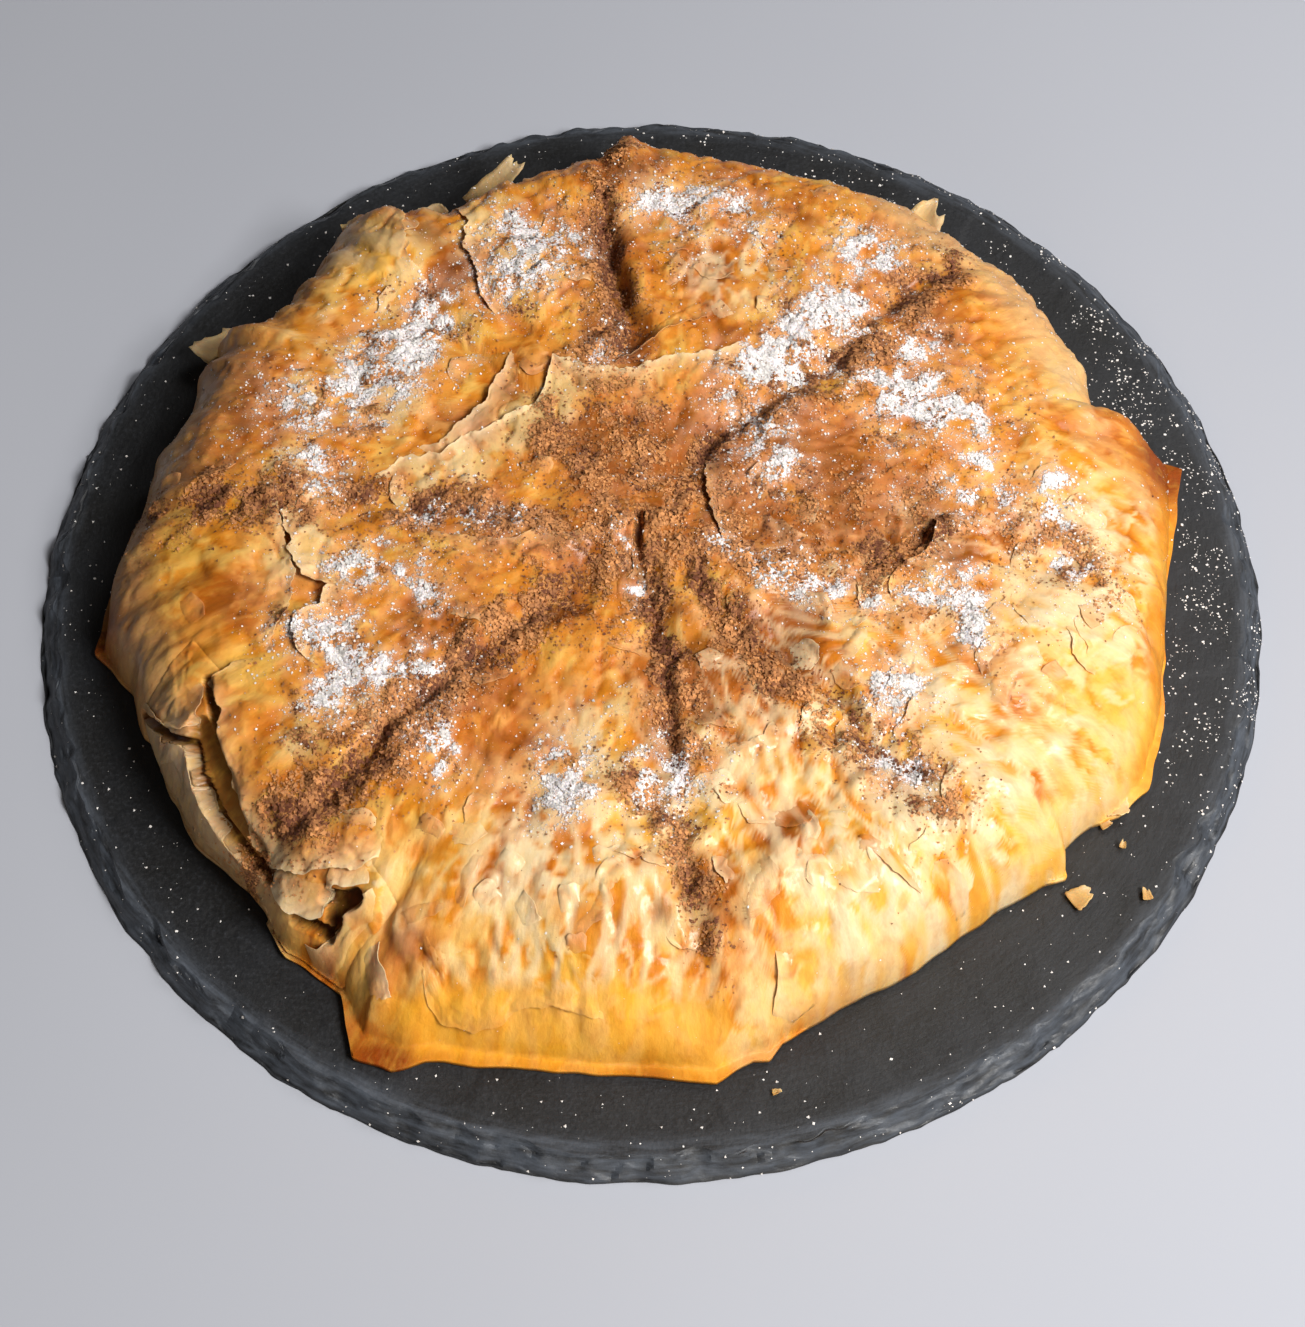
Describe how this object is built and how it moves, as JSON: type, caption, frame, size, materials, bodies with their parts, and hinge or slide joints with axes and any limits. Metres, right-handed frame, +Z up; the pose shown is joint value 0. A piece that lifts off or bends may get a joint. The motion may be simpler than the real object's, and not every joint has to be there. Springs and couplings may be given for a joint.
{
  "type": "pastilla pie on a slate board",
  "caption": "A round filo pie, golden and flaky with torn sheets, folded corners and a star of creases, resting on a dark round slate serving board with a chipped edge",
  "frame": {"origin": "the middle of the slate board's flat underside, on the table", "axes": "+Z up; -Y is the front, toward the viewer of the picture; +X to the viewer's right"},
  "size_m": [0.33, 0.3333, 0.0457],
  "materials": {
    "filo": "satin",
    "slate": "matte"
  },
  "bodies": {
    "root": {"pastry": "filo", "slate": "slate"}
  },
  "joints": []
}
